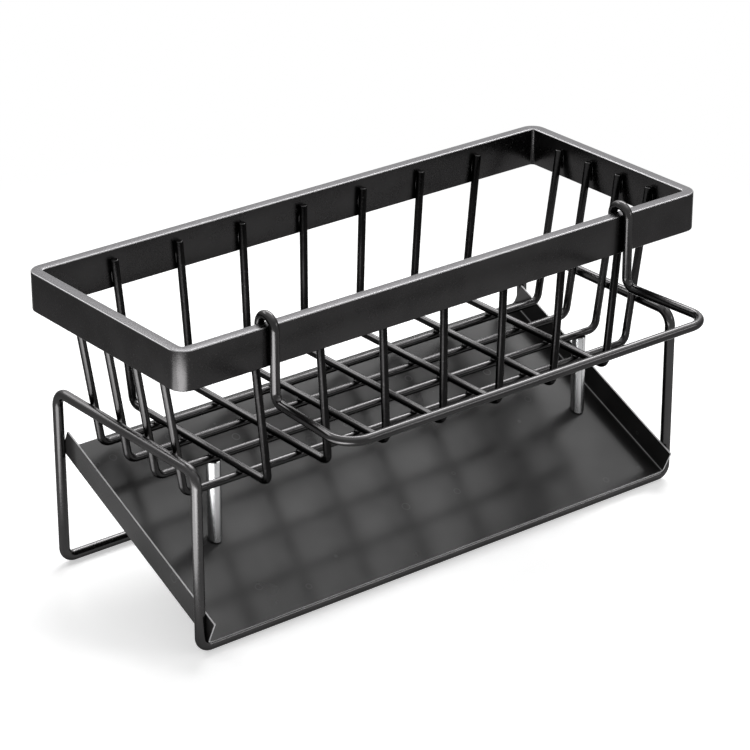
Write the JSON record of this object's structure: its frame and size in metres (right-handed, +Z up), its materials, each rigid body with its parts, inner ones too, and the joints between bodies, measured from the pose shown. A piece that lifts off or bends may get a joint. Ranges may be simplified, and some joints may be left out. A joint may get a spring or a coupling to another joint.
{
  "type": "kitchen sink caddy",
  "caption": "Black wire sponge caddy: flat-rimmed basket that lifts out of a bent-wire stand over a sloped drip tray, with a hook-on towel rail at the front.",
  "frame": {"origin": "on the counter, at the centre of the stand's footprint", "axes": "+X along the long side to the right, +Y to the back, +Z up; the towel rail is on the -Y side"},
  "size_m": [0.24, 0.1413, 0.1238],
  "materials": {
    "basket_coat": "satin black powder coat",
    "rail_coat": "satin black powder coat",
    "stand_coat": "satin black powder coat",
    "tray_coat": "satin dark grey powder coat",
    "post_steel": "polished"
  },
  "bodies": {
    "stand": {"stand_frame": "stand_coat", "drip_tray": "tray_coat"},
    "basket": {"rim_band": "basket_coat", "cross_wire_1": "basket_coat", "cross_wire_2": "basket_coat", "cross_wire_3": "basket_coat", "cross_wire_4": "basket_coat", "cross_wire_5": "basket_coat", "cross_wire_6": "basket_coat", "cross_wire_7": "basket_coat", "long_wire_1": "basket_coat", "long_wire_2": "basket_coat", "long_wire_3": "basket_coat", "long_wire_4": "basket_coat", "left_support_post": "post_steel", "right_support_post": "post_steel"},
    "towel_rail": {"towel_rail": "rail_coat"}
  },
  "joints": [
    {"name": "basket_lift", "type": "slide", "parent": "stand", "child": "basket", "axis": [0, 0, 1], "range_m": [0, 0.055]},
    {"name": "towel_rail_lift", "type": "slide", "parent": "basket", "child": "towel_rail", "axis": [0, 0, 1], "range_m": [0, 0.012]}
  ]
}
